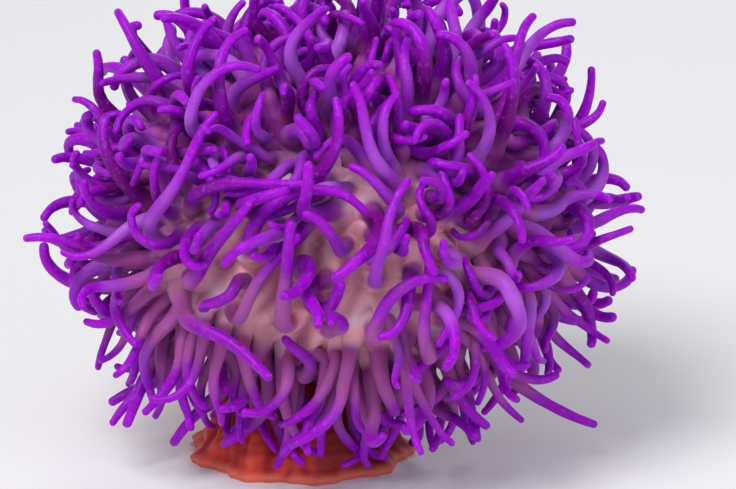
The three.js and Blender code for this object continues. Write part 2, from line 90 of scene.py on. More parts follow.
# ---- Tentacles, as in the solids ----
BASE_RADIUS = 3.1 * MM
TIP_RADIUS = 1.25 * MM
THINNING = 0.75  # power of the way along that the radius follows from one to the other
LEAST_SIZE = 0.88
SIZE_RANGE = 0.24
LEAST_LENGTH = 28 * MM
LENGTH_RANGE = 12 * MM
OPEN_FACE_EXTRA = 5 * MM
LEAST_CURL = 45  # degrees
CURL_RANGE = 135
CURL_POWER = 2.4  # of the way along: most of the curl is near the tip
WAVE = 42  # degrees, to either side
DROOP = 0.75  # how far low tentacles aim down
DROOP_RISES = (0.3, -0.6)  # Z of the way out of the crown, where that starts and is full
LIFT = 0.25  # how far high tentacles aim up
LIFT_RISES = (0.2, 0.9)
STRAY = 0.75  # how far each aims off at random
START_LEAN = 0.25  # from the normal towards the aim
AIMING = (0.1, 0.7)  # shares of the length between which a tentacle bends to its aim
LINKS = 8
CORNER_REACH = 1.25
UNTANGLE_ROUNDS = 240
LIST_EVERY = 8
LIST_MARGIN = 3 * MM
TUBE_CLEARANCE = 1.3 * MM
BODY_CLEARANCE = 0.8 * MM
FLOOR_CLEARANCE = 1.5 * MM
OWN_SPACING = 5
PUSH_SHARE = 0.25
EVENING = 0.25
RECALL = 0.995

# Chosen tentacles, as in the solids: the root's place, the shaft's way and the tip's way, each as
# degrees to the right of straight ahead and above level, then the curl and the length.
CHOSEN = np.array([
    [-25, 2, 110, 50, 95, -20, 110, 60],
    [-31, -25, 100, 70, 110, -30, 20, 54],
    [-16, -28, 110, 75, 75, -20, 0, 58],
    [-13, -61, 35, 65, -115, 25, 60, 34],
    [-42, -9, 80, 55, -95, 50, 0, 58],
    [-48, 1, 100, 40, -175, 15, 10, 60],
    [-44, 15, 80, 10, 10, 70, 0, 58],
    [8, -7, 40, 90, 135, -80, 60, 56],
    [-7, -16, 110, 70, 20, 40, 60, 28],
    [7, -22, -20, 85, 100, 45, 110, 52],
    [26, -36, -65, 75, 175, 25, 50, 56],
    [17, -58, 60, 70, 145, 5, 50, 42],
    [3, -66, 95, 25, 175, -35, 10, 32],
    [-2, -30, -10, 80, 5, -15, 100, 40],
    [-55, -38, 30, -35, 100, 55, 10, 30],
    [-53, -21, 80, 5, -20, -15, 60, 56],
    [13, 27, -110, 55, 35, -30, 0, 46],
    [-8, 30, 65, 40, 95, 65, 90, 42],
    [32, 26, 30, 70, 70, 80, 80, 28],
    [35, 34, -75, 10, -15, 25, 90, 28],
    [-8, 43, 40, -25, 25, -5, 170, 40],
    [50, 30, 85, 70, -120, 45, 60, 40],
    [31, 11, 55, 50, 50, -70, 10, 32],
    [44, 6, 60, 65, 80, 5, 20, 38],
    [54, -5, 50, 50, 90, 20, 40, 36],
    [34, -8, 95, -45, -100, 15, 160, 58],
    [32, -21, 75, -25, -35, 15, 20, 36],
    [64, -18, -20, -55, -140, 40, 0, 34],
    [-44, 41, -110, 65, 105, -30, 100, 46],
    [-48, 52, 80, 25, 145, 60, 0, 26],
    [-62, -13, -80, 45, -90, 0, 60, 42],
    [-88, -28, -90, 0, 0, 80, 100, 42],
    [-64, -30, -85, 5, -80, 80, 80, 32],
    [12, -66, 30, -70, 70, 40, 90, 30],
    [-92, 30, -80, 55, -90, 60, 30, 38],
    [-80, 48, -40, 75, 80, 20, 60, 40],
    [-46, 43, -50, 75, 85, 10, 130, 54],
    [-70, -48, -45, -10, -70, -55, 70, 42],
    [-96, -50, -100, -45, -55, -20, 30, 40],
    [-50, -62, -65, -15, -95, -60, 50, 42],
    [75, -52, 86, -38, 92, -20, 20, 52],
    [35, -61, 50, 10, 0, -50, 40, 42],
])

# ---- Shorter tentacles, added in the skin ----
FILL_TILTS = (8, 117)  # degrees from the mouth's axis
FILL_CANDIDATES = 2600
FILL_SPACING = 5.2 * MM
FILL_BARE_TURN = -18  # fewer are added round here
FILL_BARE_LIFT = -12
FILL_BARE_EDGE = (0.84, 0.97)  # cosines of the angle from there where that starts and is full
FILL_BARE_SPACING = 11 * MM
FILL_SIZE = 0.8
FILL_LENGTH = 0.9
FILL_LEAN = 0.65  # how much flatter than the others they lie over the crown
FILL_HANG = 1.8  # how much straighter down they hang under it
FILL_HANG_RISES = (-0.25, -0.6)  # Z of the way out of the crown, where that starts and is full
FILL_HANG_EXTRA = 0.18  # how much longer they are there
FILL_HANG_UNCURL = 0.5  # how much less they curl there
FILL_CLEARANCE = 0.4 * MM

# ---- Skin ----
SIDES = 12
FILLET_ANGLES = np.radians([0, 16, 32, 50, 70, 90])  # of the rings from the crown to a shaft
FILLET_RADIUS = 2.6 * MM
FILLET_STRETCH = 0.9  # how much longer it is towards the mouth
SHAFT_STATIONS = np.arange(0.85, 7.5, 0.35)  # along a tentacle, in links
CAP_ANGLES = np.radians([0, 25, 45, 63, 80])  # of the rings that round off a tip
TAPER_LENGTH = 11 * MM  # the lowest part of a shaft widens towards the root
TAPER = 0.9 * MM
SINK = 0.08 * MM
SWELLS = [(2.1, 0.035, 7), (5.3, 0.02, 14)]  # waves of a shaft's radius: rate, depth and shift
ANY_SIDE = [0.3, 0.5, 0.81]  # a way that no root points
RIDGE_HEIGHT = 1.7 * MM
RIDGE_WIDTH = 2.5 * MM
RIDGE_LENGTH = 22 * MM  # from a root towards the mouth
RIDGE_TAIL = 4 * MM
RIDGE_FULLNESS = 0.98
RIDGE_TILTS = (0.1, 0.3)  # between which the ridges rise, from the mouth outwards
RIDGE_TINT = 0.6  # how much the crown's colour follows its ridges, and not its grooves
STREAK_HEIGHT = 0.6 * MM
STREAK_TILTS = (0.25, 0.6)
STREAK_WANDER = 0.07
NECK_FILLET = 8 * MM
UNDERSIDE_TILTS = (2.0, 2.35)  # between which the column's folds take over from the grooves
# Waves round the crown or column that grooves and folds are the sum of: number, depth, phase.
STREAK_WAVES = [(38, 0.6, 0), (25, 0.4, 2)]
FOLD_WAVES = [(12, 0.5, 0), (19, 0.32, 1), (43, 0.18, 2)]
FOLD_WANDERS = [(3, 0.09, 90, 0), (5, 0.05, 0, 2)]  # number, depth, twist with height, phase
WRINKLE_DEPTH = 0.006
WRINKLE_HEIGHT = 0.42 * MM
SLIT_LENGTH = 7.5 * MM  # from the mouth's middle to its corner
SLIT_WIDTH = 1.7 * MM  # from its middle to its side
SLIT_DEPTH = 4 * MM
LIP_HEIGHT = 1.1 * MM
LIP_PLACE = 1.7  # of the way from the slit's middle to its edge
LIP_WIDTH = 0.9
SLIT_TILT = 1  # past this the crown is free of the slit
FOOT_RIPPLES = 31
FOOT_RIPPLE_DEPTH = 0.012
FOOT_HEIGHTS = (2.5 * MM, 9 * MM)  # between which the column's outline takes over from the foot's

# Rings of the crown, as tilts in degrees: finer round the mouth, and open round the rear pole.
CROWN_TILTS = np.concatenate([[179.5], np.linspace(180, 16, 150)[1:], np.linspace(15.4, 0.7, 28)])
CROWN_SIDES = 360
COLUMN_RINGS = 96
COLUMN_RING_POWER = 1.15  # they are closer together near the floor
COLUMN_SIDES = 216
COLUMN_EVENING = np.linspace(-3, 3, 7) * MM  # heights that its sections are averaged over

# ---- Texture map: the corners of each part's patch ----
CROWN_PATCH = [(0, 0.73), (0.62, 1)]
COLUMN_PATCH = [(0.63, 0.73), (1, 1)]
TENTACLE_PATCH = [(0, 0), (1, 0.72)]
UV_COLUMNS = 30  # tentacles in a row of their patch
UV_MARGIN = 0.04  # of a cell, on each side
SOLE_SHARE = 0.08  # of the column's patch, for its flat end

# ---- Values of each point of the skin, which its colours follow ----
# Place along a tentacle, its tone, height of ridges, paleness of the face, and shares of the
# column's colour, of its pale rim and of the body's colour that goes on up a tentacle.
VALUE_NAMES = ["along", "tone", "ridge", "pale", "column", "rim", "blush"]
ALONG, TONE, RIDGE, PALE, COLUMN, RIM, BLUSH = range(len(VALUE_NAMES))
TONES = 37.7  # gives each tentacle a tone of its own, from its size
# Where the face's own pale colour gives way to mauve, the painted shade round it.
PALE_FACE_TURN = -4
PALE_FACE_LIFT = -9
PALE_FACE_EDGE = (0.55, 0.88)  # cosines of the angle from there where that starts and is full
COLUMN_TILTS = (2.05, 2.5)
RIM_HEIGHTS = (1.5 * MM, 3.5 * MM)
LEAST_BLUSH = 0.1
BLUSH_RANGE = 0.45
BLUSH_RISES = (0.1, -0.65)  # Z of the way out of the crown

# ---- Colours ----
SALMON = (252, 188, 198)
# Pale pink is painted sheen, in patches over the face's ridges.
PALE_PINK = (252, 222, 238)
# Deep rose is painted shade in the crown's grooves, and also spots of the skin's own mottle.
DEEP_ROSE = (164, 84, 122)
# Mauve is painted shade, on the crown away from its face.
MAUVE = (124, 34, 134)
ORANGE = (232, 80, 60)
# Brick is painted shade, in the hollows between the column's folds.
BRICK = (150, 26, 42)
# Apricot is painted highlight, in patches over the column's folds.
APRICOT = (240, 120, 96)
# Dark red is painted shade, on the column's side towards +X.
SHADE_RED = (98, 14, 38)
PALE_RIM = (232, 120, 100)
PINK_MAUVE = (170, 84, 160)
PLUM = (112, 0, 122)
PURPLE = (140, 0, 176)
# Lavender is partly painted highlight on the shafts, and also the tentacles' own specks.
LAVENDER = (176, 92, 214)
VIOLET = (144, 0, 192)
MAGENTA = (168, 0, 206)

# ---- Noise that the colours follow: how many patches in a metre ----
CLOUD_SCALE = 45
CLOUD_DISTORTION = 0.6
FINE_SCALE = 220
GRAIN_SCALE = 800

# ---- Where the colours meet ----
# Each says where a value starts and ends passing from one colour to the next. Two more numbers
# say how much of the next there is at those ends, if not none and all.
PAINTED_SHEEN_CLOUDS = (0.5, 0.68)  # salmon to pale pink patches of painted sheen
GROOVE_SHADE_HEIGHTS = (0.4, 0.9)  # deep rose between the ridges, painted shade in the grooves, to those two on them
SHADE_CLOUDS = (0.52, 0.72, 0, 0.7)  # mauve to pinkish mauve, away from the face: painted shade between the tentacles
MOTTLE = (0.4, 0.75, 0, 0.15)  # deep rose in spots over all of it
FOLD_SHADE_HEIGHTS = (0.05, 0.95, 0.15, 1)  # brick to orange: brick is painted shade in the hollows between the folds
FOLD_HIGHLIGHT_CLOUDS = (0.5, 0.75, 0, 0.7)  # that to apricot in patches by the clouds: painted highlights on the folds
SHADED_SIDE = (-10 * MM, 24 * MM, 0, 0.75)  # that to dark red along X: painted shade on the column's far side
RIM_SHARE = 0.8
COLUMN_START = (0.15, 0.85)  # the crown's colour to the column's
WANDER = (0.3, 0.7, 0.8, 1.2)  # strays the places along a tentacle by the clouds
ROOT_END = (0.04, 0.18)  # the body's colour to pinkish mauve
SHAFT_START = (0, 0.22)  # that to the shaft's colour
PURPLE_TONES = (0.1, 0.4)  # shafts of plum to purple ones
PALE_TONES = (0.5, 0.9)  # purple shafts to lavender ones, as far as the clouds let them: partly a paler tone of their own, partly painted highlight
GLEAM_CLOUDS = (0.3, 0.6, 0.2, 1)
TIP_START = (0.45, 0.85)  # the shaft's colour to the tip's
TIP_MOTTLE = (0.3, 0.7)  # violet to magenta
FLECKS = (0.55, 0.75, 0, 0.4)  # lavender specks, in the grain
FLECK_START = (0.1, 0.3)  # where they start along a tentacle

# ---- Surface ----
ROUGHNESS = (0.2, 0.8, 0.36, 0.52)
GRAIN_BUMP = 0.3  # of the finer noise's
BUMP_STRENGTH = 0.15
BUMP_DISTANCE = 0.5 * MM
MIXED_SOCKETS = (6, 7)  # of a Mix node, for colours
MIX_RESULT = 2

# ---- View ----
PHOTO_WIDTH = 736
MM_PER_PIXEL = 0.29  # at the middle of the crown
VIEW_LIFT = 18
VIEW_CENTRE = np.array([19.7, 18.8, 57.8]) * MM  # what the middle of the picture shows
VIEW_DISTANCE = 2.5
SENSOR_WIDTH = 36

# ---- Stage ----
FLOOR_SIZE = 8
FLOOR_COLOUR = (232, 233, 236)
FLOOR_ROUGHNESS = 0.8
FLOOR_FADE = (0.5, 1.5)  # how far away the floor starts and ends fading into the backdrop
BACKDROP_COLOUR = (0.98, 0.98, 1.0, 1.0)
BACKDROP_STRENGTH = 0.84  # as the camera sees it
WORLD_STRENGTH = 0.4  # as it lights the animal
LAMPS = [  # name, place, size, power and colour
    ("key", (-0.45, -0.75, 1.25), 0.7, 17, (1.0, 0.99, 0.97)),
    ("fill", (0.9, -0.8, 0.5), 0.8, 3, (1.0, 0.99, 1.0)),
    ("rim", (0.3, 1.1, 0.8), 0.8, 4, (1.0, 1.0, 1.0)),
]


# ---- Small helpers ----
def smooth(start, end, x):
    t = np.clip((x - start) / (end - start), 0, 1)
    return t * t * (3 - 2 * t)


def unit(v):
    return v / np.linalg.norm(v, axis=-1, keepdims=True)


def dot(a, b):
    return np.sum(a * b, axis=-1, keepdims=True)


def heading(turn, lift):
    """Unit vectors from degrees to the right of straight ahead (-Y) and degrees above level."""
    turn, lift = np.radians(turn), np.radians(lift)
    level = np.cos(lift)
    return np.stack([np.sin(turn) * level, -np.cos(turn) * level, np.sin(lift)], axis=-1)


def random_numbers(seed, count):
    """Repeatable random numbers from 0 to 1, the same as in the solids."""
    state = (seed * SEED_FACTOR + SEED_SHIFT) % RANDOM_RANGE
    numbers = []
    for _ in range(count):
        state = (state * RANDOM_FACTOR) % RANDOM_RANGE
        numbers.append(state / RANDOM_RANGE)
    return numbers


def rotate(v, axis, angle):
    """Turns vectors about unit axes by angles."""
    angle = np.asarray(angle)[..., None]
    turned = v * np.cos(angle) + np.cross(axis, v) * np.sin(angle)
    return turned + axis * dot(axis, v) * (1 - np.cos(angle))


# ---- Crown surface ----
FACE = heading(FACE_TURN, FACE_LIFT)
FACE_SIDE = unit(np.cross(UP, FACE))
FACE_TOP = np.cross(FACE, FACE_SIDE)


def crown_direction(tilt, turn):
    tilt, turn = np.asarray(tilt)[..., None], np.asarray(turn)[..., None]
    across = FACE_SIDE * np.cos(turn) + FACE_TOP * np.sin(turn)
    return FACE * np.cos(tilt) + across * np.sin(tilt)


def lobe(tilt, turn):
    return 1 + LOBE_DEPTH * np.sin(tilt) ** 2 * np.cos(LOBES * turn + LOBE_PHASE)


def crown_point(tilt, turn):
    scale = np.asarray(lobe(tilt, turn))[..., None]
    return crown_direction(tilt, turn) * scale * CROWN_RADII + CROWN_CENTRE


def crown_normal(tilt, turn):
    step = 0.01
    along_tilt = crown_point(tilt + step, turn) - crown_point(tilt - step, turn)
    along_turn = crown_point(tilt, turn + step) - crown_point(tilt, turn - step)
    return unit(np.cross(along_tilt, along_turn))


def crown_angles(point):
    """Tilt and turn of points, and how far out they are as a share of the crown's radius."""
    d = (point - CROWN_CENTRE) / CROWN_RADII
    length = np.linalg.norm(d, axis=-1)
    tilt = np.arccos(np.clip(d @ FACE / length, -1, 1))
    turn = np.arctan2(d @ FACE_TOP, d @ FACE_SIDE)
    return tilt, turn, length / lobe(tilt, turn)


def openness(direction):
    """1 in the middle of the crown's open face, down to 0 away from it."""
    angle = np.arccos(np.clip(direction @ heading(OPEN_FACE_TURN, OPEN_FACE_LIFT), -1, 1))
    return 1 - smooth(*OPEN_FACE_EDGE, angle)


# ---- Tentacle roots ----
SECTORS = np.array([
    [math.radians(low), math.radians(high), i * FULL_TURN / count, (i + 1) * FULL_TURN / count]
    for low, high, count in RINGS
    for i in range(count)
])


def place_roots(sector, tilt, turn):
    """Keeps roots inside their sectors, far enough from the edges for their whole bases."""
    low, high, left, right = SECTORS[sector].T
    middle = (left + right) / 2
    from_middle = np.fmod(turn - middle + 2.5 * FULL_TURN, FULL_TURN) - FULL_TURN / 2
    edge = WALL_CLEARANCE / MEAN_RADIUS
    tilt = np.clip(tilt, low + edge, high - edge)
    reach = (right - left) / 2 - edge / np.sin(tilt)
    return tilt, middle + np.clip(from_middle, -reach, reach)


def sectors_at(tilt, turn):
    """The sector that each place on the crown is in."""
    tilt = np.clip(tilt, SECTORS[0, 0], SECTORS[-1, 1] - 0.001)[:, None]
    turn = np.fmod(turn + FULL_TURN, FULL_TURN)[:, None]
    low, high, left, right = SECTORS.T
    return np.argmax((tilt >= low) & (tilt < high) & (turn >= left) & (turn < right), axis=1)


def main_roots():
    """Tilts and turns of the roots in the solids, and the rows of the chosen ones, which lead."""
    place = heading(CHOSEN[:, 0], CHOSEN[:, 1]) * CROWN_RADII + CROWN_CENTRE
    tilt, turn, _ = crown_angles(place)
    sector = sectors_at(tilt, turn)
    tilt, turn = place_roots(sector, tilt, turn)
    taken = np.bincount(sector, minlength=len(SECTORS))
    more = []
    for i, (low, high, left, right) in enumerate(SECTORS):
        area = (right - left) * (math.cos(low) - math.cos(high)) * MEAN_RADIUS**2
        open_share = openness(crown_direction((low + high) / 2, (left + right) / 2))
        area_per_root = DENSE_AREA + (OPEN_AREA - DENSE_AREA) * open_share
        count = max(0, math.floor(area / area_per_root + 0.5) - taken[i])
        numbers = random_numbers(i, 2 * count)
        for a, b in zip(numbers[::2], numbers[1::2]):
            more.append([
                i,
                low + (high - low) * (START_MARGIN + (1 - 2 * START_MARGIN) * a),
                left + (right - left) * (START_MARGIN + (1 - 2 * START_MARGIN) * b),
            ])
    more = np.array(more)
    sector = np.concatenate([sector, more[:, 0].astype(int)])
    tilt = np.concatenate([tilt, more[:, 1]])
    turn = np.concatenate([turn, more[:, 2]])
    loose = np.arange(len(sector)) >= len(CHOSEN)
    placed = place_roots(sector, tilt, turn)
    tilt, turn = np.where(loose, placed[0], tilt), np.where(loose, placed[1], turn)
    for _ in range(SPREAD_ROUNDS):
        point = crown_point(tilt, turn)
        target = DENSE_SPACING + (OPEN_SPACING - DENSE_SPACING) * openness(crown_direction(tilt, turn))
        apart = point[:, None] - point[None]
        distance = np.linalg.norm(apart, axis=-1)
        near = (distance > 0) & (distance < target[:, None])
        share = SPREAD_SHARE * (target[:, None] - distance) / np.where(near, distance, 1)
        push = np.sum(apart * np.where(near, share, 0)[..., None], axis=1)
        pushed_tilt, pushed_turn, _ = crown_angles(point + push)
        placed = place_roots(sector, pushed_tilt, pushed_turn)
        tilt, turn = np.where(loose, placed[0], tilt), np.where(loose, placed[1], turn)
    point = crown_point(tilt, turn)
    distance = np.linalg.norm(point[:, None] - point[None], axis=-1)
    earlier = np.tri(len(tilt), k=-1, dtype=bool)
    keep = ~np.any(earlier & (distance <= LEAST_SPACING), axis=1)
    return tilt[keep], turn[keep], CHOSEN[keep[: len(CHOSEN)]]


def fill_roots(taken):
    """Tilts and turns of the added roots, in the spaces between the points already taken."""
    low, high = np.cos(np.radians(FILL_TILTS))
    k = np.arange(FILL_CANDIDATES)
    tilts = np.arccos(low + (high - low) * (k + 0.5) / FILL_CANDIDATES)
    turns = np.fmod(k * FULL_TURN * (math.sqrt(5) - 1) / 2, FULL_TURN)
    from_bare = crown_direction(tilts, turns) @ heading(FILL_BARE_TURN, FILL_BARE_LIFT)
    bare = smooth(*FILL_BARE_EDGE, from_bare)
    spacing = FILL_SPACING + (FILL_BARE_SPACING - FILL_SPACING) * bare
    chosen = []
    for tilt, turn, space in zip(tilts, turns, spacing):
        point = crown_point(tilt, turn)
        if np.linalg.norm(taken - point, axis=1).min() > space:
            chosen.append([tilt, turn])
            taken = np.vstack([taken, point])
    return np.array(chosen).T


# ---- Tentacle centre lines ----
def tentacle_plans(tilt, turn, first, chosen):
    """Shape of each tentacle. Low ones droop, high ones rise, and each strays at random, apart
    from the chosen ones, which lead."""
    seeds = range(PLAN_SEED + first, PLAN_SEED + first + len(tilt))
    draws = np.array([random_numbers(seed, PLAN_DRAWS) for seed in seeds]).T
    outward = crown_direction(tilt, turn)
    z = outward[:, 2]
    droop = DROOP * smooth(*DROOP_RISES, z) - LIFT * smooth(*LIFT_RISES, z)
    stray = heading(draws[0] * 360, draws[1] * 180 - 90)
    plan = {
        "tilt": tilt,
        "turn": turn,
        "point": crown_point(tilt, turn),
        "normal": crown_normal(tilt, turn),
        "aim": unit(outward - droop[:, None] * UP + STRAY * stray),
        "hook": heading(draws[2] * 360, draws[3] * 120 - 50),
        "length": LEAST_LENGTH + LENGTH_RANGE * draws[4] + OPEN_FACE_EXTRA * openness(outward),
        "curl": np.radians(LEAST_CURL + CURL_RANGE * draws[5]),
        "wave": np.radians(WAVE * (draws[6] * 2 - 1)),
        "size": LEAST_SIZE + SIZE_RANGE * draws[7],
    }
    plan["aim"][: len(chosen)] = heading(chosen[:, 2], chosen[:, 3])
    plan["hook"][: len(chosen)] = heading(chosen[:, 4], chosen[:, 5])
    plan["curl"][: len(chosen)] = np.radians(chosen[:, 6])
    plan["length"][: len(chosen)] = chosen[:, 7] * MM
    return plan


def centre_lines(plan):
    """Each line leaves the crown near its normal, bends to its aim and curls to its hook."""
    start = unit(plan["normal"] + (plan["aim"] - plan["normal"]) * START_LEAN)
    points = [plan["point"]]
    for k in range(LINKS):
        u = (k + 0.5) / LINKS
        direction = unit(start + (plan["aim"] - start) * smooth(*AIMING, u))
        axis = unit(np.cross(direction, plan["hook"]))
        sideways = np.cross(direction, axis)
        direction = rotate(direction, axis, plan["curl"] * u**CURL_POWER)
        direction = rotate(direction, sideways, plan["wave"] * math.sin(FULL_TURN * u))
        points.append(points[-1] + direction * (plan["length"] / LINKS)[:, None])
    return np.stack(points, axis=1)


def radius_at(plan, u):
    """Radius of every tentacle at shares of its length, an array of one row per tentacle."""
    return plan["size"][:, None] * (BASE_RADIUS + (TIP_RADIUS - BASE_RADIUS) * u**THINNING)


# ---- Untangling ----
SAMPLES = 2 * LINKS - 1
SAMPLE_LINKS = 1 + np.arange(SAMPLES) / 2
SAMPLE_BEFORE = np.floor(SAMPLE_LINKS).astype(int)
SAMPLE_AFTER = np.ceil(SAMPLE_LINKS).astype(int)


def sample(lines):
    """Points of centre lines, at their joints and halfway between them."""
    return (lines[:, SAMPLE_BEFORE] + lines[:, SAMPLE_AFTER]) / 2


def close_pairs(lines, reach, clearance, fixed):
    """Pairs of samples that are near each other, leaving out those of two fixed tentacles."""
    point = sample(lines).reshape(-1, 3)
    tube = np.repeat(np.arange(len(lines)), SAMPLES)
    step = np.tile(np.arange(SAMPLES), len(lines))
    firsts, seconds, needs = [], [], []
    for i in range(fixed, len(lines)):
        mine = slice(i * SAMPLES, (i + 1) * SAMPLES)
        rest = slice(0, (i + 1) * SAMPLES)
        distance = np.linalg.norm(point[mine, None] - point[None, rest], axis=-1)
        need = reach[mine, None] + reach[None, rest] + clearance
        own = (tube[rest] == i) & (step[rest][None] < step[mine][:, None] + OWN_SPACING)
        a, b = np.nonzero((distance < need + LIST_MARGIN) & ~own)
        firsts.append(a + i * SAMPLES)
        seconds.append(b)
        needs.append(need[a, b])
    return np.concatenate(firsts), np.concatenate(seconds), np.concatenate(needs)


def keep_off_body(point, reach):
    """Moves points out of the column, then out of the crown, and up from the floor."""
    heights = COLUMN_SECTIONS[:, 0]
    radius, x, y, fold = (np.interp(point[:, 2], heights, v) for v in COLUMN_SECTIONS[:, 1:].T)
    away = np.stack([point[:, 0] - x, point[:, 1] - y, np.zeros(len(point))], axis=1)
    in_column = reach + radius * (1 + fold) - np.linalg.norm(away, axis=1)
    inside = (in_column > 0) & (point[:, 2] < NECK_LIMIT)
    point = point + unit(away) * np.where(inside, in_column, 0)[:, None]
    in_crown = reach - (crown_angles(point)[2] - 1) * MEAN_RADIUS
    point = point + unit(point - CROWN_CENTRE) * np.maximum(in_crown, 0)[:, None]
    point[:, 2] = np.maximum(point[:, 2], reach + FLOOR_CLEARANCE)
    return point


def untangle(plan, lines, clearance=TUBE_CLEARANCE, fixed=0):
    """Pushes tentacles away from each other. As many of the first ones as are fixed stay."""
    lines = lines.copy()
    planned = lines.copy()
    link = plan["length"] / LINKS
    joint_reach = CORNER_REACH * radius_at(plan, np.arange(LINKS + 1) / LINKS)
    reach = (CORNER_REACH * radius_at(plan, SAMPLE_LINKS / LINKS)).ravel()
    for step in range(UNTANGLE_ROUNDS):
        if step % LIST_EVERY == 0:
            first, second, need = close_pairs(lines, reach, clearance, fixed)
        point = sample(lines).reshape(-1, 3)
        apart = point[first] - point[second]
        distance = np.linalg.norm(apart, axis=1)
        share = np.where(distance < need, PUSH_SHARE * (need - distance) / distance, 0)
        pushes = np.zeros_like(point)
        np.add.at(pushes, first, apart * share[:, None])
        np.add.at(pushes, second, -apart * share[:, None])
        pushes = pushes.reshape(len(lines), SAMPLES, 3)
        shifts = np.zeros_like(lines)
        for s in range(SAMPLES):
            for joint in {SAMPLE_BEFORE[s], SAMPLE_AFTER[s]}:
                shifts[:, joint] += pushes[:, s]
        moves = lines + shifts - planned
        for k in range(2, LINKS + 1):
            level = (moves[:, k - 1] + moves[:, min(k + 1, LINKS)]) / 2
            move = (moves[:, k] + (level - moves[:, k]) * EVENING) * RECALL
            target = keep_off_body(planned[:, k] + move, joint_reach[:, k] + BODY_CLEARANCE)
            direction = unit(target - lines[:, k - 1])
            moved = lines[:, k - 1] + direction * link[:, None]
            lines[fixed:, k] = moved[fixed:]
    return lines


# ---- Skin mesh ----
def waves(angle, parts):
    """Sum of waves round a turn, each given as its number, depth and phase."""
    return sum(depth * np.cos(number * angle + phase) for number, depth, phase in parts)


def column_at(z):
    """The column's radius, shift and depth of folds at heights, evened out along it."""
    spread = z[..., None] + COLUMN_EVENING
    heights = COLUMN_SECTIONS[:, 0]
    return [np.interp(spread, heights, v).mean(axis=-1) for v in COLUMN_SECTIONS[:, 1:].T]


def folds_at(angle, height):
    """How high the folds are, from -1 to 1, round the column and up it."""
    wander = angle
    for number, depth, twist, phase in FOLD_WANDERS:
        wander = wander + depth * np.sin(number * angle + twist * height + phase)
    return waves(wander, FOLD_WAVES)


def crown_relief(tilt, turn, roots):
    """Height of the skin over the plain crown: ridges from the roots towards the mouth, fine
    grooves, the lips with the slit between them, and the column's folds on the underside. Also
    says from 0 to 1 how high the ridges, grooves and folds are."""
    valleys = np.ones_like(tilt)
    for root_tilt, root_turn in zip(*roots):
        inward = (root_tilt - tilt) * MEAN_RADIUS
        around = np.mod(turn - root_turn + math.pi, FULL_TURN) - math.pi
        aside = around * np.sin(tilt) * MEAN_RADIUS
        length = np.where(inward > 0, RIDGE_LENGTH, RIDGE_TAIL)
        ridge = np.exp(-((aside / RIDGE_WIDTH) ** 2 + (inward / length) ** 2))
        valleys *= 1 - RIDGE_FULLNESS * ridge
    ridges = 1 - valleys
    wander = turn + STREAK_WANDER * np.sin(5 * tilt + 3 * turn)
    streaks = waves(wander, STREAK_WAVES)
    plain = crown_point(tilt, turn)
    _, x, y, _ = column_at(plain[..., 2])
    folds = folds_at(np.arctan2(plain[..., 1] - y, plain[..., 0] - x), plain[..., 2])
    under = smooth(*UNDERSIDE_TILTS, tilt)
    streaks = streaks * smooth(*STREAK_TILTS, tilt) * (1 - under) + folds * under
    from_slit = np.hypot(np.cos(turn) / SLIT_LENGTH, np.sin(turn) / SLIT_WIDTH)
    from_slit = np.where(tilt < SLIT_TILT, np.sin(tilt) * MEAN_RADIUS * from_slit, np.inf)
    lips = LIP_HEIGHT * np.exp(-(((from_slit - LIP_PLACE) / LIP_WIDTH) ** 2))
    lips -= SLIT_DEPTH * np.exp(-(from_slit**2))
    relief = RIDGE_HEIGHT * ridges * smooth(*RIDGE_TILTS, tilt) + STREAK_HEIGHT * streaks + lips
    crest = streaks / 2 + 0.5
    return relief, crest + RIDGE_TINT * (ridges - crest) * (1 - under)


def on_crown(tilt, turn, height):
    """Points at a height over the plain crown."""
    plain = crown_point(tilt, turn)
    return plain + unit(plain - CROWN_CENTRE) * height[..., None]


def from_column(point):
    """Distance of points from the column's side."""
    radius, x, y, _ = column_at(point[..., 2])
    return np.hypot(point[..., 0] - x, point[..., 1] - y) - radius


def fillet(distance):
    """How far two bodies swell towards each other near where they meet."""
    return NECK_FILLET / 4 * np.maximum(1 - np.abs(distance) / NECK_FILLET, 0) ** 2


def stations(plan):
    """Places of the rings along each tentacle, in links, and the share of the radius they have."""
    link = (plan["length"] / LINKS)[:, None]
    size = plan["size"][:, None]
    root = FILLET_RADIUS * size * (1 - np.cos(FILLET_ANGLES)) / link
    shaft = np.tile(SHAFT_STATIONS, (len(size), 1))
    cap = LINKS - TIP_RADIUS * size / link * (1 - np.sin(CAP_ANGLES))
    share = np.ones(len(FILLET_ANGLES) + len(SHAFT_STATIONS))
    return np.concatenate([root, shaft, cap], axis=1), np.concatenate([share, np.cos(CAP_ANGLES)])


def smooth_points(lines, normal, u):
    """Points on smooth curves through the joints of centre lines, u counted in links."""
    before = lines[:, :1] - normal[:, None] * np.linalg.norm(
        lines[:, 1:2] - lines[:, :1], axis=-1, keepdims=True)
    after = 2 * lines[:, -1:] - lines[:, -2:-1]
    joints = np.concatenate([before, lines, after], axis=1)
    k = np.minimum(np.floor(u).astype(int), LINKS - 1)
    t = (u - k)[..., None]
    a, b, c, d = (np.take_along_axis(joints, (k + i)[..., None], axis=1) for i in range(4))
    bend = (2 * a - 5 * b + 4 * c - d) * t**2 + (3 * b - a - 3 * c + d) * t**3
    return b + ((c - a) * t + bend) / 2


